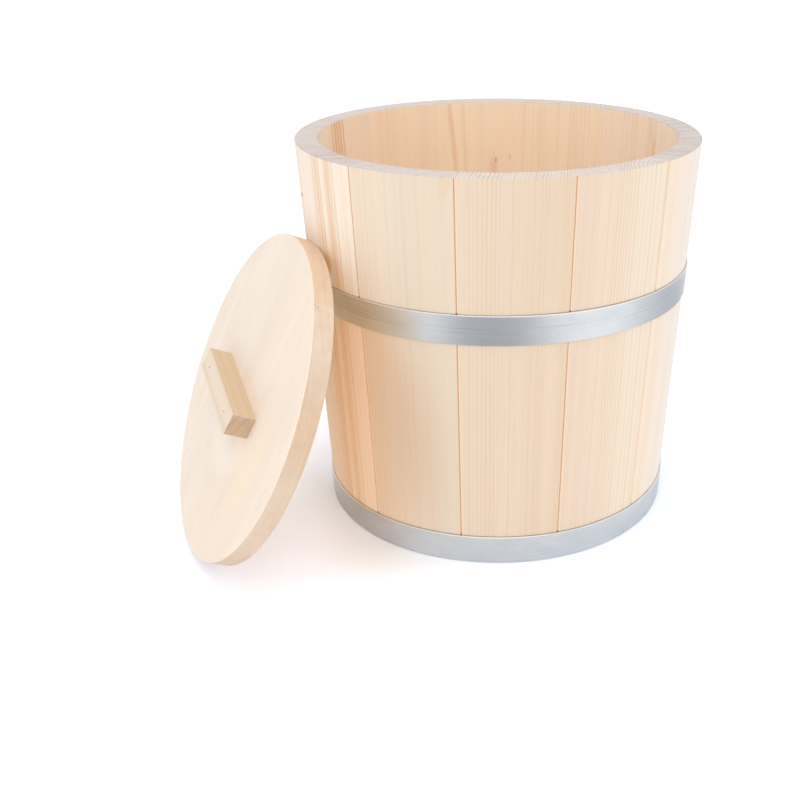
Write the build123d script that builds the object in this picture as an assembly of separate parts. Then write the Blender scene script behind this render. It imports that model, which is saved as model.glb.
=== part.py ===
# A ten-litre softwood firkin: bevelled staves stand round a bottom let into their
# grooves, two riveted steel hoops hold them, and a loose round lid leans on the side.
# Lengths are in millimetres and angles in degrees. The firkin's axis is Z and its feet
# stand on the plane z = 0. The lid stands on that plane too and leans towards +X.
import os
from math import atan2, cos, degrees, radians, sin, sqrt, tan

from build123d import *

# Staves
rim_radius = 140.0
foot_radius = 126.5
firkin_height = 270.0
wall = 15.5
stave_count = 12
first_seam_angle = -5.3
seam_arris = 0.45
end_arris = 0.6

# Bottom, made of boards dowelled edge to edge, with a bevelled edge in the staves' groove
bottom_recess = 16.0
bottom_thickness = 14.0
bottom_board_width = 78.0
bottom_turn = 30.0
bevel_length = 12.0
tongue_thickness = 6.0
groove_depth = 4.5
groove_clearance = 0.25
dowel_radius = 4.0
dowel_length = 36.0
dowel_spacing = 96.0
dowel_clearance = 0.05
dowel_end_clearance = 0.5

# Hoops, each a strip bent round the wall with its ends lapped and riveted
hoop_width = 20.0
hoop_thickness = 0.9
hoop_clearance = 0.2
hoop_edge = 0.2
lower_hoop_foot = 0.6
upper_hoop_foot = 163.7
lap_stave = 2
lap_length = 40.0
joggle_length = 7.0
lap_corner = 4.0
rivet_pitch = 17.0
rivet_radius = 2.0
rivet_head_radius = 3.8
rivet_head_height = 1.5
rivet_clearance = 0.05

# Lid, three boards glued edge to edge
lid_radius = 114.0
lid_thickness = 14.0
lid_middle_board_width = 112.0
lid_arris = 0.5

# Handle across the lid's boards, with its two brads. Its ends are sawn out of square, and
# it was nailed on by eye, a little off the lid's middle
handle_length = 94.0
handle_width = 16.6
handle_height = 16.2
handle_end_skew = 8.0
handle_off_middle = (-2.3, -1.0)
handle_arris = 0.4
brad_pitch = 61.0
brad_length = 26.0
brad_width = 1.9
brad_thickness = 0.9
brad_point = 2.5
brad_set = 0.7
brad_turn = 61.0

# Where the lid stands: how far it leans from upright, how far it is turned in its own
# plane, how far its middle stands off the firkin's middle plane, and its gap to the wall
lid_lean = 24.3
lid_turn = -7.0
lid_side_shift = -9.7
lean_clearance = 0.3

overrun = 5.0
stave_arc = 360.0 / stave_count
wall_slope = degrees(atan2(rim_radius - foot_radius, firkin_height))


def outer_radius(z):
    """Radius of the staves' outer face at height z."""
    return foot_radius + (rim_radius - foot_radius) * z / firkin_height


def inner_radius(z):
    """Radius of the staves' inner face at height z, beside the groove."""
    return outer_radius(z) - wall


def section(*points):
    """A face in the half plane through the axis, from (radius, height) points."""
    return Plane.XZ * make_face(Polyline(*points, close=True))


def stave_section():
    """One stave cut down its middle: leaning faces, eased ends, and the bottom's groove."""
    middle = bottom_recess + bottom_thickness / 2
    bevel = (bottom_thickness - tongue_thickness) / 2 / bevel_length
    half_root = tongue_thickness / 2 + groove_clearance
    half_mouth = half_root + groove_depth * bevel
    root = inner_radius(middle) + groove_depth
    low, high = middle - half_mouth, middle + half_mouth
    return section(
        (foot_radius - end_arris, 0),
        (outer_radius(end_arris), end_arris),
        (outer_radius(firkin_height - end_arris), firkin_height - end_arris),
        (rim_radius - end_arris, firkin_height),
        (inner_radius(firkin_height) + end_arris, firkin_height),
        (inner_radius(firkin_height - end_arris), firkin_height - end_arris),
        (inner_radius(high), high),
        (root, middle + half_root),
        (root, middle - half_root),
        (inner_radius(low), low),
        (inner_radius(end_arris), end_arris),
        (inner_radius(0) + end_arris, 0),
    )


def stave():
    """The section swept over one stave's share of the circle, so both joints are radial.

    The two long outer arrises are eased, which makes the V seen along each seam.
    """
    body = revolve(stave_section(), Axis.Z, revolution_arc=stave_arc)
    outer_arrises = body.edges().filter_by(GeomType.LINE).sort_by(SortBy.LENGTH)[-2:]
    return chamfer(outer_arrises, seam_arris)


def boards(disc, joints):
    """A disc sawn into boards at the X places in joints, from -X to +X."""
    pieces = []
    for x in joints:
        pieces.append(split(disc, Plane.YZ.offset(x), keep=Keep.BOTTOM))
        disc = split(disc, Plane.YZ.offset(x), keep=Keep.TOP)
    return pieces + [disc]


def dowel(joint, y, radius, length):
    """A cylinder through a joint at X place joint, square to it, in mid board."""
    middle = bottom_recess + bottom_thickness / 2
    return Pos(joint, y, middle) * Rot(0, 90, 0) * Cylinder(radius, length)


def bottom():
    """The bottom's boards and their dowels, under and over bevelled to an edge tongue."""
    low, high = bottom_recess, bottom_recess + bottom_thickness
    middle = (low + high) / 2
    edge = inner_radius(middle) + groove_depth - groove_clearance
    disc = revolve(
        section(
            (0, low),
            (edge - bevel_length, low),
            (edge, middle - tongue_thickness / 2),
            (edge, middle + tongue_thickness / 2),
            (edge - bevel_length, high),
            (0, high),
        ),
        Axis.Z,
    )
    joints = [-bottom_board_width / 2, bottom_board_width / 2]
    places = [(x, y) for x in joints for y in (-dowel_spacing / 2, dowel_spacing / 2)]
    hole_radius = dowel_radius + dowel_clearance
    hole_length = dowel_length + 2 * dowel_end_clearance
    for x, y in places:
        disc -= dowel(x, y, hole_radius, hole_length)
    turn = Rot(0, 0, bottom_turn)
    dowels = [turn * dowel(x, y, dowel_radius, dowel_length) for x, y in places]
    return [turn * board for board in boards(disc, joints)], dowels


def strip_section(foot, lift):
    """The hoop strip's section with its lower edge at foot, standing lift off the wall."""
    top = foot + hoop_width
    return section(
        (outer_radius(foot) + lift, foot),
        (outer_radius(foot) + lift + hoop_thickness - hoop_edge, foot),
        (outer_radius(foot + hoop_edge) + lift + hoop_thickness, foot + hoop_edge),
        (outer_radius(top - hoop_edge) + lift + hoop_thickness, top - hoop_edge),
        (outer_radius(top) + lift + hoop_thickness - hoop_edge, top),
        (outer_radius(top) + lift, top),
    )


def rivet_planes(foot):
    """The places of one hoop's rivets on its inner face, looking square out of the wall."""
    middle = foot + hoop_width / 2
    radius = outer_radius(middle) + hoop_clearance
    step = degrees(rivet_pitch / radius)
    lap_angle = first_seam_angle + (lap_stave + 1 / 2) * stave_arc
    planes = []
    for angle in (lap_angle - step / 2, lap_angle + step / 2):
        across, along = cos(radians(angle)), sin(radians(angle))
        slope = radians(wall_slope)
        outward = (across * cos(slope), along * cos(slope), -sin(slope))
        planes.append(Plane((across * radius, along * radius, middle), z_dir=outward))
    return planes


def corner_cutter(foot):
    """What the snips take off a strip's square end at angle zero, at both its corners."""
    top = foot + hoop_width
    lower = [
        (-lap_corner, foot - overrun),
        (-lap_corner, foot),
        (0, foot + lap_corner),
        (overrun, foot + lap_corner),
        (overrun, foot - overrun),
    ]
    upper = [(x, top + foot - z) for x, z in lower]
    cutter = [extrude(Plane.YZ * make_face(Polyline(*points, close=True)), rim_radius + overrun)
              for points in (lower, upper)]
    return cutter[0] + cutter[1]


def hoop(foot):
    """A tapered band whose outer end steps up over the inner end and lies on it.

    The band, the joggled step and the lapped end are drawn together, with clipped
    corners on the free end and holes for the rivets.
    """
    middle_radius = outer_radius(foot + hoop_width / 2)
    lap = degrees(lap_length / middle_radius)
    joggle = degrees(joggle_length / middle_radius)
    start = first_seam_angle + (lap_stave + 1 / 2) * stave_arc - lap / 2
    on_wall = strip_section(foot, hoop_clearance)
    on_band = strip_section(foot, hoop_clearance + hoop_thickness)

    band = revolve(on_wall, Axis.Z)
    step = loft([Rot(0, 0, start - joggle) * on_wall, Rot(0, 0, start) * on_band], ruled=True)
    lapped = Rot(0, 0, start) * revolve(on_band, Axis.Z, revolution_arc=lap)
    lapped -= Rot(0, 0, start + lap) * corner_cutter(foot)

    strip = band + step + lapped
    for plane in rivet_planes(foot):
        strip -= plane * Cylinder(rivet_radius + rivet_clearance, overrun)
    return strip


def rivet():
    """A round-headed rivet along Z, its tail flush with z = 0 and its head on two strips."""
    grip = 2 * hoop_thickness
    top = grip + rivet_head_height
    dome_radius = (rivet_head_radius**2 + rivet_head_height**2) / (2 * rivet_head_height)
    half = rivet_head_radius / 2
    shank = Polyline(
        (0, top), (0, 0), (rivet_radius, 0), (rivet_radius, grip), (rivet_head_radius, grip)
    )
    dome = ThreePointArc(
        (rivet_head_radius, grip),
        (half, top - dome_radius + sqrt(dome_radius**2 - half**2)),
        (0, top),
    )
    return revolve(Plane.XZ * make_face([shank, dome]), Axis.Z)


def brad(length, top):
    """A brad in its own slanted plane, pointed at its foot, reaching up to height top."""
    point = top - length
    outline = Polyline(
        (-brad_width / 2, top),
        (-brad_width / 2, point + brad_point),
        (0, point),
        (brad_width / 2, point + brad_point),
        (brad_width / 2, top),
        close=True,
    )
    return extrude(Plane.XZ * make_face(outline), brad_thickness / 2, both=True)


def lid():
    """The lid's boards, its handle and the brads, with its back face on z = 0.

    X runs along the handle and Y along the boards.
    """
    disc = Pos(0, 0, lid_thickness / 2) * Cylinder(lid_radius, lid_thickness)
    disc = chamfer(disc.edges().filter_by(GeomType.CIRCLE), lid_arris)
    handle_top = lid_thickness + handle_height
    half_length, half_width = handle_length / 2, handle_width / 2
    lean = half_width * tan(radians(handle_end_skew))
    outline = Polyline(
        (-half_length - lean, -half_width),
        (half_length - lean, -half_width),
        (half_length + lean, half_width),
        (-half_length + lean, half_width),
        close=True,
    )
    middle = Pos(*handle_off_middle, 0)
    handle = middle * Pos(0, 0, lid_thickness) * extrude(make_face(outline), handle_height)
    outer_edges = handle.edges().group_by(Axis.Z)[-1]
    corner_edges = handle.edges().filter_by(Axis.Z)
    handle = chamfer(outer_edges + corner_edges, handle_arris)

    brads = []
    for x in (-brad_pitch / 2, brad_pitch / 2):
        place = middle * Pos(x, 0, 0) * Rot(0, 0, brad_turn)
        brads.append(place * brad(brad_length, handle_top - brad_set))
        channel = place * brad(brad_length + brad_set + overrun, handle_top + overrun)
        handle -= channel
        disc -= channel
    joints = [-lid_middle_board_width / 2, lid_middle_board_width / 2]
    return boards(disc, joints), handle, brads


def lid_place():
    """Where the leaning lid stands: its lowest corner on the floor, its top on the wall."""
    lean = radians(lid_lean)
    flat_radius = lid_radius - lid_arris
    middle_z = lid_radius * cos(lean) - lid_arris * sin(lean)
    top_z = middle_z + flat_radius * cos(lean)
    top_x = -outer_radius(top_z) - lean_clearance
    middle = (top_x - flat_radius * sin(lean), lid_side_shift, middle_z)
    seat = Plane(middle, x_dir=(0, -1, 0), z_dir=(-cos(lean), 0, sin(lean)))
    return seat.location * Rot(0, 0, lid_turn)


def tipping_edge():
    """The point on the floor about which the leaning lid tips up."""
    lean = radians(lid_lean)
    place = lid_place().position
    reach = lid_radius * sin(lean) + lid_arris * cos(lean)
    return Vector(place.X - reach, place.Y, 0)


def parts():
    """Every piece by its name, in its place."""
    named = {}
    for number in range(stave_count):
        turn = Rot(0, 0, first_seam_angle + number * stave_arc)
        named[f"stave_{number + 1:02d}"] = turn * stave()
    bottom_boards, dowels = bottom()
    for number, board in enumerate(bottom_boards, start=1):
        named[f"bottom_board_{number}"] = board
    named["bottom_dowels"] = Compound(children=dowels)
    for name, foot in (("lower_hoop", lower_hoop_foot), ("upper_hoop", upper_hoop_foot)):
        named[name] = hoop(foot)
        rivets = [plane * rivet() for plane in rivet_planes(foot)]
        named[f"{name}_rivets"] = Compound(children=rivets)
    place = lid_place()
    lid_boards, handle, brads = lid()
    for number, board in enumerate(lid_boards, start=1):
        named[f"lid_board_{number}"] = place * board
    named["lid_handle"] = place * handle
    named["handle_brads"] = Compound(children=[place * piece for piece in brads])
    return named


os.makedirs("parts", exist_ok=True)
for name, shape in parts().items():
    export_step(shape, f"parts/{name}.step")
edge = tipping_edge()
print(f"lid tips about x {edge.X:.2f} y {edge.Y:.2f} z {edge.Z:.2f}")
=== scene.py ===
# The firkin and its lid, dressed as pale planed softwood with galvanised hoops, on a plain
# pale floor in soft light. The woods' and metals' patterns are worked out in millimetres,
# each board's in its own frame. The floor, the lamps and the camera are placed in metres.
from collections import namedtuple
from math import cos, hypot, radians, sin

import bpy
import numpy as np
from mathutils import Matrix, Vector


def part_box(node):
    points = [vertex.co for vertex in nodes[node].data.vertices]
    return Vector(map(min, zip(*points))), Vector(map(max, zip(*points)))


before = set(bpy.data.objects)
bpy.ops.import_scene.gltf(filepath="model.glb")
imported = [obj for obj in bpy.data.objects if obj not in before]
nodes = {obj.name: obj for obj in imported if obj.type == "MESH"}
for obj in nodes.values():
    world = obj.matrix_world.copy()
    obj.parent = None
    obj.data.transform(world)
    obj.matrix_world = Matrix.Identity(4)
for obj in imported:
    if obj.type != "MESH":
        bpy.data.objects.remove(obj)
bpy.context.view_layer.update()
millimetre = 0.001

# The firkin as the frame has it, in millimetres and degrees
stave_count = 12
stave_arc = 360 / stave_count
first_seam_angle = -5.3
firkin_height = 270.0
rim_radius = 140.0
foot_radius = 126.5
wall = 15.5
upper_hoop_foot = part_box("upper_hoop")[0].z / millimetre
lower_hoop_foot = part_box("lower_hoop")[0].z / millimetre
hoop_width = 20.0
bottom_turn = 30.0

# The lid as the frame has it: its size, its rim's arris, how far it leans and is turned, and
# in metres the point of the floor about which it tips
lid_radius = 114.0
lid_thickness = 14.0
lid_arris = 0.5
lid_lean = 24.3
lid_turn = -7.0
lid_corner = Vector((-0.23123, -0.0097, 0.0))


def shade(red, green, blue):
    """A colour given as it looks on a screen, 0 to 255, turned into the shader's own units.

    It undoes the screen's curve, which is straight near black and a power of 2.4 above that.
    """
    parts = np.array((red, green, blue)) / 255
    linear = np.where(parts <= 0.04045, parts / 12.92, ((parts + 0.055) / 1.055) ** 2.4)
    return (*linear.tolist(), 1.0)


class Term:
    """A shader value that can stand in a sum. Each operator adds one Math node."""

    def __init__(self, finish, socket):
        self.finish = finish
        self.socket = socket

    def math(self, operation, *others):
        """A Math node whose first value is this one."""
        return self.finish.math(operation, self, *others)

    def __add__(self, other):
        return self.math("ADD", other)

    def __radd__(self, other):
        return self.math("ADD", other)

    def __sub__(self, other):
        return self.math("SUBTRACT", other)

    def __rsub__(self, other):
        return self.finish.math("SUBTRACT", other, self)

    def __mul__(self, other):
        return self.math("MULTIPLY", other)

    def __rmul__(self, other):
        return self.math("MULTIPLY", other)

    def __truediv__(self, other):
        return self.math("DIVIDE", other)

    def __rtruediv__(self, other):
        return self.finish.math("DIVIDE", other, self)

    def __abs__(self):
        return self.math("ABSOLUTE")

    def rise(self, low, high):
        """0 below low, 1 above high, and a smooth step between them."""
        return self.finish.add(
            "ShaderNodeMapRange",
            {"interpolation_type": "SMOOTHSTEP"},
            {"Value": self, "From Min": low, "From Max": high},
        )

    def fall(self, low, high):
        """1 below low, 0 above high, and a smooth step between them."""
        return 1 - self.rise(low, high)


class Finish:
    """One material and the nodes that make it."""

    def __init__(self, name):
        self.material = bpy.data.materials.new(name)
        self.material.use_nodes = True
        self.tree = self.material.node_tree
        self.tree.nodes.clear()

    def add(self, kind, settings, sockets, output=0):
        """One node: its settings first, then its sockets' values or links."""
        node = self.tree.nodes.new(kind)
        for name, value in settings.items():
            setattr(node, name, value)
        for name, value in sockets.items():
            if isinstance(value, Term):
                self.tree.links.new(value.socket, node.inputs[name])
            else:
                node.inputs[name].default_value = value
        return Term(self, node.outputs[output])

    def math(self, operation, *values):
        """One Math node on numbers or terms."""
        return self.add("ShaderNodeMath", {"operation": operation}, dict(enumerate(values)))

    def vector(self, operation, first, second, output=0):
        """One Vector Math node on two vectors."""
        settings = {"operation": operation}
        return self.add("ShaderNodeVectorMath", settings, {0: first, 1: second}, output)

    def split(self, vector):
        """The three numbers of a vector."""
        first = self.add("ShaderNodeSeparateXYZ", {}, {0: vector})
        node = first.socket.node
        return [Term(self, output) for output in node.outputs]

    def join(self, x, y, z):
        """A vector of three numbers."""
        return self.add("ShaderNodeCombineXYZ", {}, {0: x, 1: y, 2: z})

    def mix(self, factor, first, second):
        """A colour between two colours."""
        settings = {"data_type": "RGBA"}
        return self.add("ShaderNodeMix", settings, {0: factor, 6: first, 7: second}, 2)

    def tint(self, colour, factor, second):
        """A colour multiplied by a second one, as far as factor says."""
        settings = {"data_type": "RGBA", "blend_type": "MULTIPLY"}
        return self.add("ShaderNodeMix", settings, {0: factor, 6: colour, 7: second}, 2)

    def noise(self, place, cell, detail=2.0):
        """Smooth noise, about 0 to 1, in cells of the given size. Detail adds finer noise."""
        sized = self.vector("DIVIDE", place, cell)
        values = {"Vector": sized, "Scale": 1.0, "Detail": detail, "Roughness": 0.5}
        return self.add("ShaderNodeTexNoise", {"noise_dimensions": "3D"}, values)

    def mottle(self, place, pattern):
        """A pattern's noise at a place."""
        return self.noise(place, pattern.cell, pattern.detail)

    def amount(self, noise, pattern):
        """How much of a pattern's tone its noise brings, 0 to the pattern's depth."""
        return noise.rise(*pattern.fade) * pattern.depth

    def dice(self, number):
        """A random value, 0 to 1, for each whole number."""
        return self.add("ShaderNodeTexWhiteNoise", {"noise_dimensions": "1D"}, {"W": number})

    def place(self, turn=(0, 0, 0), shift=(0, 0, 0)):
        """Object coordinates in millimetres, turned and then shifted."""
        where = self.add("ShaderNodeTexCoord", {}, {}, "Object")
        scale = (1 / millimetre,) * 3
        values = {"Vector": where, "Location": shift, "Rotation": turn, "Scale": scale}
        return self.add("ShaderNodeMapping", {"vector_type": "POINT"}, values)

    def facing(self, direction):
        """How squarely the surface faces along a direction or against it, 0 to 1."""
        normal = self.add("ShaderNodeTexCoord", {}, {}, "Normal")
        return abs(self.vector("DOT_PRODUCT", normal, tuple(direction), "Value"))

    def bump(self, height, strength, distance):
        """The surface's normal where it rises and sinks a little."""
        values = {"Height": height, "Strength": strength, "Distance": distance}
        return self.add("ShaderNodeBump", {}, values)

    def close(self, **sockets):
        """The Principled shader with its sockets, and the material's output."""
        values = {name.replace("_", " "): value for name, value in sockets.items()}
        shader = self.add("ShaderNodeBsdfPrincipled", {}, values)
        self.add_output(shader)
        return self.material

    def add_output(self, shader):
        """The material's output, which shows the given shader."""
        output = self.tree.nodes.new("ShaderNodeOutputMaterial")
        self.tree.links.new(shader.socket, output.inputs["Surface"])


# A pattern is noise in cells of some millimetres each way. It brings its tone where the
# noise passes through its fade, as far as its depth.
Pattern = namedtuple("Pattern", "cell detail fade depth tone")

# A mark is a soft oval: whether it lies on a stave's outer face or on its inner, its middle,
# its half sizes, how it slants along the grain, its tone and strength, the share of it that
# has all of that strength, and the height along the board above which it isn't drawn
Mark = namedtuple(
    "Mark", "outside across along half_width half_height slant tone strength core ceiling",
    defaults=(0.25, 400.0))

# A line is drawn along a joint or a hoop. Its fade is measured from there, and its strength
# is its least plus as much of its gain as a patchy noise gives.
Line = namedtuple("Line", "fade least gain tone")


class Timber:
    """How one board was cut, in millimetres in the board's own frame.

    pith is where the tree's heart lies: across from the board's middle and inwards from its
    show face. ring is one year's growth at the middle of the show face, and crowding is how
    much closer the years lie for each millimetre further from the heart. wander is how far
    the grain strays. near and far are the bare wood's colours at the left and right edge,
    and sawn that of its ends. rings and ends say how strongly the years show along the grain
    and on the sawn ends, and blushes how strongly long rosy bands do. lines lists the strong
    years and glows the broad warm bands: where each shows, across and inwards, its half
    width and its strength. marks are what one face alone has, among them painted shade and
    painted light. joints says how dark the left and right joints are.
    """

    def __init__(self, pith, ring, seed, crowding=0.0, wander=1.0, rings=0.3, ends=0.2,
                 blushes=0.4, near=(242, 221, 200), far=(242, 221, 200),
                 sawn=(214, 204, 197), lines=(), glows=(), marks=(), joints=(1.0, 1.0)):
        self.pith = pith
        self.ring = ring
        self.seed = seed
        self.crowding = crowding
        self.wander = wander
        self.rings = rings
        self.ends = ends
        self.blushes = blushes
        self.near = near
        self.far = far
        self.sawn = sawn
        self.lines = lines
        self.glows = glows
        self.marks = marks
        self.joints = joints

    def heart_distance(self, across, inwards):
        """How far a place in the board lies from the tree's heart."""
        return hypot(across - self.pith[0], inwards - self.pith[1])


# How every board's grain runs. A seed shifts the noise by so much, across and inwards. The
# grain sways slowly and quickly, and the years are uneven over a run of some years.
seed_shift = (97.0, 53.0)
dice_shift = 31.0
slow_cell = (60.0, 60.0, 150.0)
quick_cell = (12.0, 12.0, 35.0)
quick_sway = 0.35
uneven_run = 4.0
uneven_years = 1.6
sway_detail = 1.0

# The part of a year over which its late wood darkens and ends, and how strong the weakest is
late_start = (0.2, 0.85)
late_stop = (0.86, 1.0)
late_least = 0.15
sawn_late_start = (0.55, 0.85)
sawn_late_stop = (0.88, 1.0)
sawn_late_least = 0.3

# The wood's tones along the grain
late_wood = (225, 188, 148)
strong_line = (226, 170, 118)
warm_band = (240, 205, 168)
blush = Pattern((11.0, 11.0, 300.0), 2.0, (0.45, 0.7), 1.0, (241, 218, 195))
fibres = Pattern((0.45, 0.45, 22.0), 2.0, (0.5, 0.8), 0.35, (243, 238, 232))
faded_cell = (20.0, 20.0, 45.0)
faded_least = 0.6
faded_gain = 0.8
half_face = 34.0

# The wood's tones on a sawn end
sawn_late = (142, 128, 120)
sawn_warm = (170, 144, 134)
sawn_glow_share = 0.5
patches = Pattern((9.0, 9.0, 9.0), 2.0, (0.4, 0.7), 0.5, (246, 240, 240))
specks = Pattern((0.5, 0.5, 3.0), 2.0, (0.45, 0.7), 0.4, (232, 226, 222))

# How rough the wood is, and how far fibres and late wood stand proud or sink
wood_roughness = 0.62
fibre_roughness = 0.12
fibre_height = 0.6
late_depth = 0.3
planed_bump = (0.25, 0.00015)
sanded_bump = (0.2, 0.0001)


def band(finish, timber, distance, rows):
    """How far a point is inside any of the listed years, 0 to 1 times their strength."""
    total = 0.0
    for (across, inwards), half_width, strength in rows:
        away = abs(distance - timber.heart_distance(across, inwards)) / half_width
        total = finish.math("MAXIMUM", away.fall(0.0, 1.0) * strength, total)
    return total


def wood(finish, timber, across, inwards, along, end, marks=()):
    """The colour, roughness and height of a board's surface.

    Years' rings are cylinders round the pith. Their distance from it, bent by slow noise, is
    cut into years; each year darkens towards its end and starts pale again. The marks lie
    under the years, each as far as its side says.
    """
    pith_across, pith_inwards = timber.pith
    place = finish.join(across, inwards, along)
    shift = tuple(timber.seed * step for step in seed_shift)
    seeded = finish.vector("ADD", place, (*shift, 0.0))
    slow = finish.noise(seeded, slow_cell, sway_detail) - 0.5
    quick = finish.noise(seeded, quick_cell, sway_detail) - 0.5
    sideways = across - pith_across + slow * (2 * timber.wander) + quick * quick_sway
    deep = inwards - pith_inwards
    distance = finish.math("SQRT", sideways * sideways + deep * deep)

    grown = distance - timber.heart_distance(0.0, 0.0)
    years = grown * (1 + grown * timber.crowding) / timber.ring
    run = finish.join(years, timber.seed * uneven_run, 0.0)
    years = years + finish.noise(run, (uneven_run,) * 3, sway_detail) * uneven_years
    part = finish.math("FRACT", years)
    strong = finish.dice(finish.math("FLOOR", years) + timber.seed * dice_shift)
    late = part.rise(*late_start) * part.fall(*late_stop)
    late = late * (late_least + (1 - late_least) * strong)
    lines = band(finish, timber, distance, timber.lines)
    glows = band(finish, timber, distance, timber.glows)

    bands = finish.mottle(seeded, blush)
    fibre = finish.mottle(seeded, fibres)
    faded = faded_least + faded_gain * finish.noise(seeded, faded_cell, sway_detail)
    edge = across.rise(-half_face, half_face)
    colour = finish.mix(edge, shade(*timber.near), shade(*timber.far))
    colour = finish.mix(finish.amount(bands, blush) * timber.blushes, colour, shade(*blush.tone))
    for mark, side in marks:
        colour = spot(finish, colour, mark, across, along, side)
    colour = finish.mix(glows, colour, shade(*warm_band))
    colour = finish.mix(late * timber.rings, colour, shade(*late_wood))
    colour = finish.mix(lines * faded, colour, shade(*strong_line))
    colour = finish.tint(colour, finish.amount(fibre, fibres), shade(*fibres.tone))

    thin = part.rise(*sawn_late_start) * part.fall(*sawn_late_stop)
    thin = thin * (sawn_late_least + (1 - sawn_late_least) * strong)
    warm = lines + glows * sawn_glow_share
    sawn = finish.mix(thin * timber.ends, shade(*timber.sawn), shade(*sawn_late))
    sawn = finish.mix(warm * timber.ends, sawn, shade(*sawn_warm))
    for pattern in (patches, specks):
        spread = finish.amount(finish.mottle(seeded, pattern), pattern)
        sawn = finish.tint(sawn, spread, shade(*pattern.tone))
    colour = finish.mix(end, colour, sawn)
    height = fibre * fibre_height - late * late_depth
    roughness = wood_roughness + fibre_roughness * fibre
    return colour, roughness, height


# How far below a mark's ceiling it starts to fade
ceiling_fade = 20.0


def spot(finish, colour, mark, across, along, side):
    """A mark: a soft oval that leans with the grain, whose core has all of its strength."""
    x = (across - mark.across - (along - mark.along) * mark.slant) / mark.half_width
    z = (along - mark.along) / mark.half_height
    reach = finish.math("SQRT", x * x + z * z)
    below = along.fall(mark.ceiling - ceiling_fade, mark.ceiling)
    strength = reach.fall(mark.core, 1.0) * below * side * mark.strength
    return finish.mix(strength, colour, shade(*mark.tone))


# How squarely a face looks along the grain, from where it counts as a sawn end, and how deep
# in the wall the outer face's marks end
stave_end_facing = (0.5, 0.65)
outer_depth = (6.0, 8.0)

# The joints' lines on the outer face. The edge left of a joint has a painted highlight, which
# stands for the light that it catches.
joint_highlight = Line((0.9, 1.7), 0.4, 0.5, (250, 220, 192))
joint_warm = Line((0.2, 1.3), 0.3, 0.5, (236, 194, 148))
joint_dark = Line((0.05, 0.5), 0.4, 0.6, (196, 142, 94))
joint_lit_loss = 0.6
joint_patch = 14.0

# The shade above a hoop, the darker corner that it makes with a joint, and how far down
# behind the hoop they reach
hoop_shade = Line((0.1, 0.7), 0.3, 0.5, (150, 112, 82))
corner_shade = (92, 64, 44)
corner_beside = (0.3, 1.1)
corner_above = (0.4, 1.6)
corner_strength = 0.6
behind_hoop = (-2.0, -1.0)


def stave_finish(number, timber):
    """A stave's wood, its joints' thin warm lines and painted highlights, and painted shade above
    each hoop.
    """
    finish = Finish(f"stave_{number:02d}_wood")
    middle = radians(first_seam_angle + (number - 1 / 2) * stave_arc)
    out, across, along = finish.split(finish.place(turn=(0, 0, -middle)))
    slope = (rim_radius - foot_radius) / firkin_height
    inwards = foot_radius + slope * along - out
    end = finish.facing((0, 0, 1)).rise(*stave_end_facing)
    outside = inwards.fall(*outer_depth)
    marks = [(mark, outside if mark.outside else 1 - outside) for mark in timber.marks]
    colour, roughness, height = wood(finish, timber, across, inwards, along, end, marks)

    half = radians(stave_arc / 2)
    gap = out * sin(half) - abs(across) * cos(half)
    on_right = finish.math("GREATER_THAN", across, 0.0)
    left, right = timber.joints
    face = (1 - end) * outside * (on_right * (right - left) + left)
    patchy = finish.noise(finish.join(number * joint_patch, 0.0, along), (joint_patch,) * 3)
    # lit is the side of each stave that has the painted highlight by its joint
    lit = 1 - on_right
    joint_lines = ((joint_highlight, lit), (joint_warm, 1 - lit * joint_lit_loss), (joint_dark, 1))
    for line, share in joint_lines:
        strength = gap.fall(*line.fade) * (line.least + line.gain * patchy)
        colour = finish.mix(strength * face * share, colour, shade(*line.tone))
    for foot in (upper_hoop_foot, lower_hoop_foot):
        above = along - (foot + hoop_width)
        there = above.rise(*behind_hoop)
        shadow = above.fall(*hoop_shade.fade) * (hoop_shade.least + hoop_shade.gain * patchy)
        corner = gap.fall(*corner_beside) * above.fall(*corner_above) * corner_strength
        colour = finish.mix(shadow * there * outside, colour, shade(*hoop_shade.tone))
        colour = finish.mix(corner * there * face, colour, shade(*corner_shade))
    normal = finish.bump(height, *planed_bump)
    return finish.close(Base_Color=colour, Roughness=roughness, Normal=normal)
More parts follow.
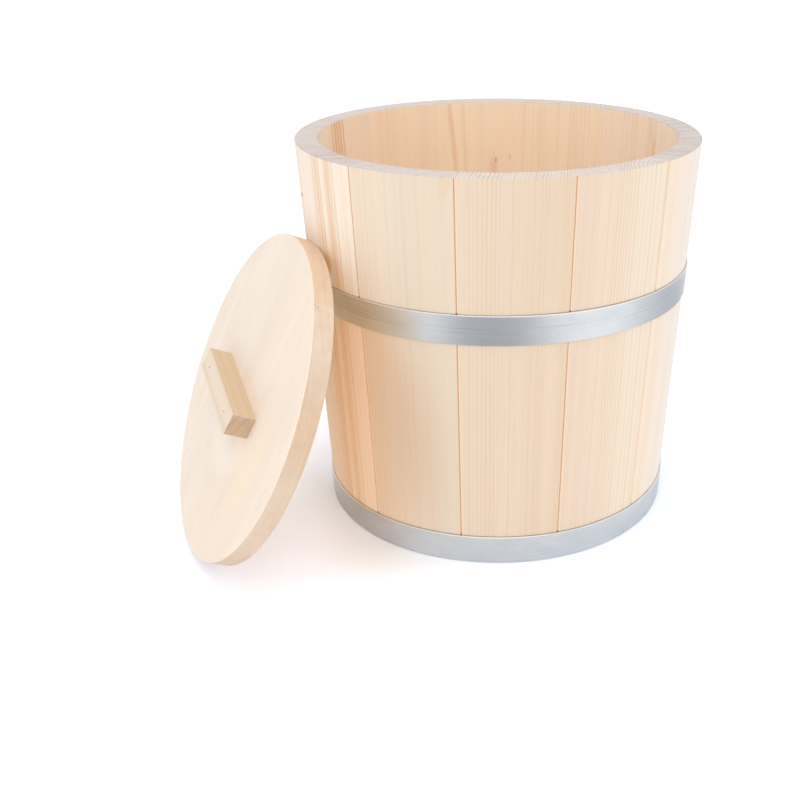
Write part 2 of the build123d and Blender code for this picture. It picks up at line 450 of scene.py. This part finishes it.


# The staves' timbers, stave_01 first. Stave 3 has a knot inside and stave 5 a dark band.
# Staves 7 and 8 are seen from the front and have the most marks outside, among them painted
# shade and painted light from the lid beside them, and stave 6 a knot.
timbers = [
    Timber((-46.0, -45.0), 2.9, seed=1, rings=0.22, ends=0.4, near=(251, 231, 208),
           far=(252, 232, 210),
           marks=[Mark(False, -24.0, 261.0, 1.6, 14.0, 0.5, (240, 204, 164), 0.4),
                  Mark(False, -30.0, 246.0, 5.0, 15.0, 0.0, (238, 192, 142), 0.5, 0.3)]),
    Timber((-130.0, -30.0), 3.0, seed=2, rings=0.22, ends=0.4, near=(253, 230, 203),
           far=(253, 230, 201)),
    Timber((-150.0, 70.0), 3.1, seed=3, rings=0.16, ends=0.15, near=(253, 228, 200),
           far=(254, 230, 201),
           marks=[Mark(False, 26.2, 240.0, 3.0, 75.0, 0.094, (232, 174, 124), 0.4),
                  Mark(False, 16.8, 240.0, 2.6, 60.0, 0.045, (236, 188, 144), 0.3),
                  Mark(False, -7.1, 219.0, 4.5, 13.0, 0.0, (226, 178, 134), 0.36),
                  Mark(False, -8.7, 223.5, 1.0, 3.3, 0.0, (164, 114, 82), 0.6),
                  Mark(False, -20.1, 226.0, 1.4, 4.4, 0.1, (214, 166, 128), 0.3)]),
    Timber((150.0, 20.0), 3.4, seed=4, rings=0.22, ends=0.15, near=(253, 227, 198),
           far=(252, 223, 193)),
    Timber((-120.0, 40.0), 3.2, seed=5, rings=0.12, ends=0.15, near=(252, 225, 198),
           far=(252, 227, 203),
           lines=[((23.2, wall), 1.6, 0.6), ((18.2, wall), 1.6, 0.8), ((14.4, wall), 1.5, 0.6),
                  ((10.4, wall), 1.5, 0.7), ((6.0, wall), 1.5, 0.6)],
           glows=[((14.5, wall), 13.0, 0.8)]),
    Timber((120.0, 60.0), 4.2, seed=6, rings=0.08, ends=0.45, near=(250, 232, 212),
           far=(249, 233, 214), joints=(1.0, 0.1),
           marks=[Mark(True, 30.9, 235.6, 2.8, 2.0, 0.0, (96, 80, 76), 1.0, 0.4)]),
    Timber((-160.0, 60.0), 2.9, seed=7, rings=0.12, ends=0.7, near=(252, 237, 223),
           far=(252, 238, 222), joints=(0.15, 1.0),
           lines=[((-5.7, 0.0), 1.5, 0.27), ((-0.9, 0.0), 1.5, 0.47), ((2.6, 0.0), 1.3, 0.44),
                  ((10.4, 0.0), 1.2, 0.4), ((12.9, 0.0), 1.4, 0.56), ((15.4, 0.0), 1.1, 0.32),
                  ((19.2, 0.0), 1.2, 0.3), ((24.0, 0.0), 1.2, 0.08), ((28.5, 0.0), 1.2, 0.08)],
           glows=[((-1.0, 0.0), 9.5, 0.34), ((14.0, 0.0), 9.0, 0.3)],
           # The first mark is painted warm light that the lid throws back onto the lower wall, and
           # the second is painted shade where the lid touches the wall.
           marks=[Mark(True, 32.0, 96.6, 60.0, 220.0, 0.2, (252, 222, 197), 1.0, 0.36, 184.0),
                  Mark(True, 3.0, 199.0, 8.0, 13.0, 0.3, (236, 190, 140), 0.7, 0.3)]),
    Timber((-140.0, 70.0), 4.0, seed=8, rings=0.06, ends=0.3, near=(238, 222, 202),
           far=(226, 211, 193),
           lines=[((-34.0, 0.0), 1.6, 0.1), ((-30.3, 0.0), 1.5, 0.12), ((-25.5, 0.0), 1.6, 0.14),
                  ((-22.0, 0.0), 1.4, 0.08), ((-19.3, 0.0), 1.3, 0.08), ((-8.6, 0.0), 1.6, 0.1),
                  ((-1.6, 0.0), 1.5, 0.09), ((3.4, 0.0), 1.6, 0.15), ((12.8, 0.0), 2.6, 0.09)],
           marks=[Mark(True, 30.4, 266.0, 4.2, 10.0, 0.1, (230, 207, 180), 0.75, 0.85),
                  # The next two marks are painted shade: the lid's shadow on the lower wall,
                  # warmed by the light that the lid throws back.
                  Mark(True, -45.0, 140.0, 51.0, 178.0, -0.15, (233, 204, 175), 1.0, 0.54, 184.0),
                  Mark(True, -1.4, 92.4, 40.4, 112.0, -0.08, (221, 196, 174), 1.0, 0.02, 184.0)]),
    Timber((-170.0, 40.0), 2.25, seed=9, crowding=0.0035, rings=0.5, ends=0.45,
           near=(230, 211, 190), far=(227, 206, 183), sawn=(223, 209, 197),
           marks=[Mark(True, 12.0, 270.0, 0.5, 2.0, 0.0, (196, 140, 92), 0.8, 0.5)]),
    Timber((47.0, -22.0), 2.2, seed=10, crowding=0.006, wander=0.8, rings=0.5, ends=0.45,
           near=(231, 210, 192), far=(241, 227, 208), sawn=(220, 208, 199),
           joints=(1.0, 0.25),
           marks=[Mark(True, 34.0, 135.0, 3.4, 600.0, 0.02, (238, 203, 166), 0.5)]),
    Timber((150.0, 30.0), 3.4, seed=11, rings=0.07, ends=1.15, near=(244, 228, 212),
           far=(245, 238, 232), sawn=(214, 204, 198), joints=(0.25, 0.8),
           marks=[Mark(True, -26.5, 135.0, 4.5, 600.0, 0.0, (243, 222, 198), 0.6)]),
    Timber((160.0, 60.0), 2.9, seed=12, rings=0.2, ends=1.3, near=(254, 239, 222),
           far=(254, 237, 217), sawn=(217, 207, 202)),
]


def board_place(finish, turn, middle):
    """A board's own frame, in millimetres, from its turn and its middle in the part's frame."""
    back = turn.inverted()
    shift = -(back @ (middle / millimetre))
    return finish.place(tuple(back.to_euler()), tuple(shift))


def lid_frame():
    """The lid's turn and the middle of its back.

    Its X lies along the handle, its Y along the grain and its Z outwards. The middle lies one
    radius up the lid from the corner that it tips about, and one arris in.
    """
    lean = radians(lid_lean)
    outwards = Vector((-cos(lean), 0, sin(lean)))
    handle_way = Vector((0, -1, 0))
    upwards = outwards.cross(handle_way)
    turn = Matrix((handle_way, upwards, outwards)).transposed()
    middle = lid_corner + (upwards * lid_radius - outwards * lid_arris) * millimetre
    return turn @ Matrix.Rotation(radians(lid_turn), 3, "Z"), middle


# How squarely a face of the lid looks along the grain, from where it shows some sawn end,
# and how much of it. How squarely it looks along the lid's axis to be its face or its back.
lid_end_facing = (0.3, 0.9)
lid_end_share = 0.4
lid_flat_facing = (0.5, 0.65)
lid_back_facing = (0.8, 0.95)
lid_back_depth = (1.0, 2.0)

# The lid's face and back. The face has painted light beside the handle, and the back is paler
# towards one side.
lid_timber = Timber((40.0, 160.0), 6.0, seed=21, wander=8.0, rings=0.08, ends=0.2,
                    blushes=0.25, near=(245, 233, 220), far=(247, 231, 214),
                    marks=[Mark(True, -75.5, -44.0, 5.8, 17.0, -0.24, (243, 220, 184), 0.65, 0.4),
                           Mark(True, 41.0, -66.0, 4.2, 30.0, 0.06, (240, 219, 190), 0.42),
                           Mark(True, -107.0, 60.0, 7.0, 13.0, 0.0, (233, 221, 206), 0.6),
                           Mark(True, 66.0, -20.0, 26.0, 62.0, 0.0, (249, 229, 204), 0.6),
                           # The next two marks are painted light that lifts the handle's shadow on
                           # the lid below it.
                           Mark(True, 8.0, -38.0, 44.0, 22.0, 0.0, (254, 246, 238), 0.45),
                           Mark(True, 37.0, -23.0, 16.0, 20.0, 0.0, (255, 238, 219), 0.7)])
lid_cloud = Pattern((26.0, 60.0, 26.0), 3.0, (0.35, 0.7), 0.6, (238, 222, 206))
lid_back = (250, 220, 174)
lid_back_edge = (254, 240, 214)
lid_back_across = (30.0, 80.0)

# The lid's rim: each board's tone, how it changes up the lid, what the saw and hands left,
# and a small patch of open pores, with its middle and reach
rim_tones = {1: (244, 230, 214), 2: (247, 233, 216), 3: (247, 239, 229)}
rim_low = (242, 242, 245)
rim_low_along = (60.0, 90.0)
rim_warm = (251, 242, 233)
rim_warm_middle = 38.0
rim_warm_reach = (5.0, 42.0)
rim_streaks = Pattern((50.0, 50.0, 2.2), 2.0, (0.45, 0.7), 0.2, (228, 226, 218))
rim_smears = Pattern((8.0, 8.0, 8.0), 2.0, (0.4, 0.7), 0.3, (242, 234, 224))
rim_pores = Pattern((0.8, 0.8, 0.8), 0.0, (0.6, 0.68), 0.8, (176, 136, 100))
pore_middle = (58.5, 97.8, 12.6)
pore_reach = (2.0, 4.8)


def lid_wood(name, timber, turn, middle, rim):
    """The lid's wood, its rim's tint and its back. The grain runs along the lid's own Y."""
    finish = Finish(name)
    place = board_place(finish, turn, middle)
    across, along, up = finish.split(place)
    end = finish.facing(turn.col[1]).rise(*lid_end_facing) * lid_end_share
    facing = finish.facing(turn.col[2])
    flat = facing.rise(*lid_flat_facing)
    colour, roughness, height = wood(finish, timber, across, lid_thickness - up, along, end)
    cloud = finish.amount(finish.mottle(place, lid_cloud), lid_cloud)
    colour = finish.mix(cloud, colour, shade(*lid_cloud.tone))
    back = up.fall(*lid_back_depth) * facing.rise(*lid_back_facing)
    for mark in timber.marks:
        colour = spot(finish, colour, mark, across, along, flat * (1 - back))

    edge = 1 - flat
    low = along.fall(*rim_low_along)
    warm = abs(along - rim_warm_middle).fall(*rim_warm_reach)
    colour = finish.tint(colour, edge, shade(*rim))
    colour = finish.tint(colour, low * edge, shade(*rim_low))
    colour = finish.tint(colour, warm * edge, shade(*rim_warm))
    for pattern in (rim_streaks, rim_smears):
        spread = finish.amount(finish.mottle(place, pattern), pattern)
        colour = finish.tint(colour, spread * edge, shade(*pattern.tone))
    pores = finish.amount(finish.mottle(place, rim_pores), rim_pores)
    near = finish.vector("DISTANCE", place, pore_middle, "Value").fall(*pore_reach)
    colour = finish.mix(pores * near * edge, colour, shade(*rim_pores.tone))
    back_tone = finish.mix(across.rise(*lid_back_across), shade(*lid_back), shade(*lid_back_edge))
    colour = finish.mix(back, colour, back_tone)
    normal = finish.bump(height, *sanded_bump)
    return finish.close(Base_Color=colour, Roughness=roughness, Normal=normal)


# The bar handle, the bottom's boards and their dowels. The handle's sides and sawn ends are
# duller than its top.
handle_timber = Timber((-14.0, -12.0), 4.6, seed=31, rings=0.25, ends=0.24,
                       near=(233, 218, 200), far=(233, 218, 200))
handle_end = (245, 224, 196)
handle_side = (235, 223, 204)
bottom_timber = Timber((10.0, 80.0), 3.0, seed=41, near=(250, 230, 204), far=(250, 230, 204))
plain_facing = (0.6, 0.9)


def plain_wood(name, timber, turn, middle, end_tint=None, side_tint=None):
    """A small board's wood with its grain along the turn's second axis."""
    finish = Finish(name)
    across, along, up = finish.split(board_place(finish, turn, middle))
    end = finish.facing(turn.col[1]).rise(*plain_facing)
    colour, roughness, height = wood(finish, timber, across, up, along, end)
    if end_tint:
        colour = finish.tint(colour, end, shade(*end_tint))
    if side_tint:
        side = finish.facing(turn.col[0]).rise(*plain_facing)
        colour = finish.tint(colour, side, shade(*side_tint))
    normal = finish.bump(height, *sanded_bump)
    return finish.close(Base_Color=colour, Roughness=roughness, Normal=normal)


# The hoops' zinc, its light tone and its dark one, to which the cloud leads, a painted highlight
# along its top edge, and how strongly the rollers scored each hoop in a belt round the given level
upper_zinc = ((222, 226, 230), (216, 220, 225))
lower_zinc = ((221, 227, 234), (215, 221, 229))
zinc_cloud = Pattern((20.0, 20.0, 12.0), 2.0, (0.3, 0.7), 1.0, None)
zinc_grains = Pattern((0.9, 0.9, 0.6), 2.0, (0.4, 0.7), 0.35, (226, 229, 233))
zinc_top_highlight = (246, 247, 249)
highlight_width = 0.7
highlight_fade = (-0.3, 0.2)
highlight_strength = 0.8
scores = Pattern((90.0, 90.0, 0.4), 2.0, (0.55, 0.72), 1.0, (178, 183, 190))
score_least = 0.15
upper_scored = 0.6
lower_scored = 0.0
belt_level = 11.0
belt_half = 5.0
belt_fade = (0.2, 1.0)

# How rough the zinc is, and how it spreads light across the way that it was rolled
zinc_roughness = 0.31
cloud_roughness = 0.06
grain_roughness = 0.1
grain_height = 0.3
strip_bump = (0.15, 0.0001)
rolled_spread = 0.5
rolled_turn = 0.25


def hoop_steel(name, foot, scored, light, dark):
    """Galvanised strip: fine spangle, lines that the rollers left along it, and a painted top-edge
    highlight.
    """
    finish = Finish(name)
    place = finish.place()
    level = finish.split(place)[2] - foot
    cloud = finish.mottle(place, zinc_cloud)
    grains = finish.mottle(place, zinc_grains)
    belt = (abs(level - belt_level) / belt_half).fall(*belt_fade)
    lines = finish.amount(finish.mottle(place, scores), scores) * (score_least + belt * scored)
    # A painted highlight along the strip's top edge
    edge = (level - (hoop_width - highlight_width)).rise(*highlight_fade) * highlight_strength
    colour = finish.mix(finish.amount(cloud, zinc_cloud), shade(*light), shade(*dark))
    colour = finish.tint(colour, finish.amount(grains, zinc_grains), shade(*zinc_grains.tone))
    colour = finish.tint(colour, lines, shade(*scores.tone))
    colour = finish.mix(edge, colour, shade(*zinc_top_highlight))
    roughness = zinc_roughness + cloud_roughness * cloud + grain_roughness * grains
    normal = finish.bump(grains * grain_height - lines, *strip_bump)
    return finish.close(Base_Color=colour, Metallic=1.0, Roughness=roughness, Normal=normal,
                        Anisotropic=rolled_spread, Anisotropic_Rotation=rolled_turn)


# Rivets and brads
rivet_tone = (190, 196, 200)
brad_tone = (110, 100, 92)
dull_cell = (1.2, 1.2, 1.2)
dull_detail = 3.0
dull_share = 0.8
dull_roughness = 0.4
dull_roughness_gain = 0.2


def dull_steel(name, tone):
    """Small fastenings: grey steel, a little mottled."""
    finish = Finish(name)
    cloud = finish.noise(finish.place(), dull_cell, dull_detail)
    colour = finish.mix(cloud, shade(*tone), shade(*(part * dull_share for part in tone)))
    roughness = dull_roughness + dull_roughness_gain * cloud
    return finish.close(Base_Color=colour, Metallic=1.0, Roughness=roughness)


def dress(node, material):
    """Gives a node of the frame its finish."""
    for slot in nodes[node].material_slots:
        slot.material = material


for number, timber in enumerate(timbers, start=1):
    dress(f"stave_{number:02d}", stave_finish(number, timber))

turn, lid_middle = lid_frame()
for number, rim in rim_tones.items():
    name = f"lid_board_{number}"
    dress(name, lid_wood(f"{name}_wood", lid_timber, turn, lid_middle, rim))
handle_turn = turn @ Matrix.Rotation(radians(90), 3, "Z")
dress("lid_handle", plain_wood("lid_handle_wood", handle_timber, handle_turn, lid_middle,
                               handle_end, handle_side))

boards_turn = Matrix.Rotation(radians(bottom_turn), 3, "Z")
boards_middle = Vector((0, 0, 0))
for number in (1, 2, 3):
    name = f"bottom_board_{number}"
    dress(name, plain_wood(f"{name}_wood", bottom_timber, boards_turn, boards_middle))
dress("bottom_dowels", plain_wood("bottom_dowels_wood", handle_timber, boards_turn, boards_middle))

dress("upper_hoop", hoop_steel("upper_hoop_steel", upper_hoop_foot, upper_scored, *upper_zinc))
dress("lower_hoop", hoop_steel("lower_hoop_steel", lower_hoop_foot, lower_scored, *lower_zinc))
rivet_steel = dull_steel("rivet_steel", rivet_tone)
dress("upper_hoop_rivets", rivet_steel)
dress("lower_hoop_rivets", rivet_steel)
dress("handle_brads", dull_steel("brad_steel", brad_tone))

# The floor, in metres: its half width and how far it lies under the feet
floor_half = 8.0
floor_drop = 0.0003

# The floor's colour and glow, as the light meets it and as the eye sees it
paper = (244, 244, 244)
floor_glow = (0.175, 0.175, 0.175, 1.0)
seen_paper = (251, 251, 251)
seen_glow = (0.18, 0.226, 0.325, 1.0)
no_glow = (0.0, 0.0, 0.0, 1.0)

# What metal mirrors is painted shade for the hoops' reflections: the floor loses its glow near the
# feet, and has soft darker patches, each with its middle, where it fades and its tone
mirrored_foot_shade = (0.16, 0.26)
mirrored_shade_spots = [((-0.215, -0.425), (0.11, 0.33), (78, 86, 96)),
              ((0.515, -0.04), (0.11, 0.38), (186, 189, 194)),
              ((-0.132, -0.03), (0.02, 0.07), (232, 224, 223))]

# Where the seen glow is lost, which paints shadow onto the floor as the eye sees it: in the nook
# between the lid and the wall, under the firkin, where a share of it is left, and close round the
# feet on the lid's side
shadow_nook_middle = (-0.113, -0.063)
shadow_nook_fade = (-0.004, 0.067)
under_share = 0.54
under_fade = (0.08, 0.212)
lid_side = (-0.133, -0.119)
lid_side_fade = (0.085, 0.164)


def floor():
    """A wide flat sheet just under the feet, white to the eye and shaded by what stands on it.

    Metal sees it with painted shade for the hoops' reflections: darker in front and to the right,
    and without its glow close round the feet. To the eye its glow is lost round the feet and
    between the lid and the wall, which paints shadow onto it there.
    """
    corners = [(x * floor_half, y * floor_half, -floor_drop)
               for x, y in ((-1, -1), (1, -1), (1, 1), (-1, 1))]
    mesh = bpy.data.meshes.new("floor")
    mesh.from_pydata(corners, [], [(0, 1, 2, 3)])
    sheet = bpy.data.objects.new("floor", mesh)
    bpy.context.scene.collection.objects.link(sheet)

    finish = Finish("floor_white")
    mirrored = finish.add("ShaderNodeLightPath", {}, {}, "Is Glossy Ray")
    looked_at = finish.add("ShaderNodeLightPath", {}, {}, "Is Camera Ray")
    where = finish.add("ShaderNodeTexCoord", {}, {}, "Object")

    def away_from(x, y):
        """How far a point of the floor is from the given one."""
        return finish.vector("DISTANCE", where, (x, y, 0.0), "Value")

    from_middle = away_from(0.0, 0.0)
    colour = finish.mix(looked_at, shade(*paper), shade(*seen_paper))
    # Painted shade that only metal sees: the glow is lost near the feet and in darker patches
    lit = 1 - from_middle.fall(*mirrored_foot_shade) * mirrored
    for middle, fade, tone in mirrored_shade_spots:
        dark = away_from(*middle).fall(*fade) * mirrored
        colour = finish.mix(dark, colour, shade(*tone))
        lit = lit * (1 - dark)

    # Painted shadow for the eye: the seen glow fades out in the nook, under the firkin and beside
    # the lid
    nook = away_from(*shadow_nook_middle).rise(*shadow_nook_fade)
    under = under_share + (1 - under_share) * from_middle.rise(*under_fade)
    left = finish.split(where)[0].fall(*lid_side)
    beside = 1 - left * from_middle.fall(*lid_side_fade)
    seen = finish.mix(under * nook * beside, no_glow, seen_glow)
    glow_colour = finish.mix(looked_at, floor_glow, seen)
    white = finish.add("ShaderNodeBsdfDiffuse", {}, {"Color": colour})
    glow = finish.add("ShaderNodeEmission", {}, {"Color": glow_colour, "Strength": lit})
    finish.add_output(finish.add("ShaderNodeAddShader", {}, {0: white, 1: glow}))
    mesh.materials.append(finish.material)


# The lamps and the world
lamp_aim = Vector((-0.04, 0, 0.13))
lamp_distance = 1.5
lamp_size = 0.9
sky_strength = 0.87


def lamp(name, azimuth, elevation, power):
    """A square soft lamp, aimed between the firkin and its lid."""
    light = bpy.data.lights.new(name, "AREA")
    light.size = lamp_size
    light.energy = power
    holder = bpy.data.objects.new(name, light)
    way = Vector((
        cos(radians(azimuth)) * cos(radians(elevation)),
        sin(radians(azimuth)) * cos(radians(elevation)),
        sin(radians(elevation)),
    ))
    holder.location = lamp_aim + way * lamp_distance
    holder.rotation_euler = way.to_track_quat("Z", "Y").to_euler()
    bpy.context.scene.collection.objects.link(holder)


def sky():
    """An even white world, seen as plain white."""
    world = bpy.data.worlds.new("studio")
    bpy.context.scene.world = world
    world.use_nodes = True
    tree = world.node_tree
    background = tree.nodes["Background"]
    background.inputs["Color"].default_value = (1, 1, 1, 1)
    rays = tree.nodes.new("ShaderNodeLightPath")
    either = tree.nodes.new("ShaderNodeMix")
    either.data_type = "FLOAT"
    either.inputs[2].default_value = sky_strength
    either.inputs[3].default_value = 1.0
    tree.links.new(rays.outputs["Is Camera Ray"], either.inputs[0])
    tree.links.new(either.outputs[0], background.inputs["Strength"])


# The camera: its place in metres, its turns in degrees and its lens in millimetres
camera_place = (-0.31597, -0.68099, 0.41444)
camera_heading = -23.33
camera_pitch = 66.744
camera_roll = -0.2907
sensor_width = 36.0
lens = 48.242
lens_shift = (-0.0865, -0.0418)


def camera():
    """A camera that sees the rim, the foot and the hoops as the photo shows them."""
    data = bpy.data.cameras.new("camera")
    data.sensor_width = sensor_width
    data.lens = lens
    data.shift_x, data.shift_y = lens_shift
    holder = bpy.data.objects.new("camera", data)
    heading = Matrix.Rotation(radians(camera_heading), 3, "Z")
    pitch = Matrix.Rotation(radians(camera_pitch), 3, "X")
    roll = Matrix.Rotation(radians(camera_roll), 3, "Z")
    turned = (heading @ pitch @ roll).to_4x4()
    holder.matrix_world = Matrix.Translation(camera_place) @ turned
    bpy.context.scene.collection.objects.link(holder)
    bpy.context.scene.camera = holder


floor()
sky()
lamp("front_light", azimuth=252.0, elevation=40.0, power=2.6)
lamp("top_light", azimuth=250.0, elevation=80.0, power=4.7)
camera()
bpy.context.scene.view_settings.view_transform = "Standard"
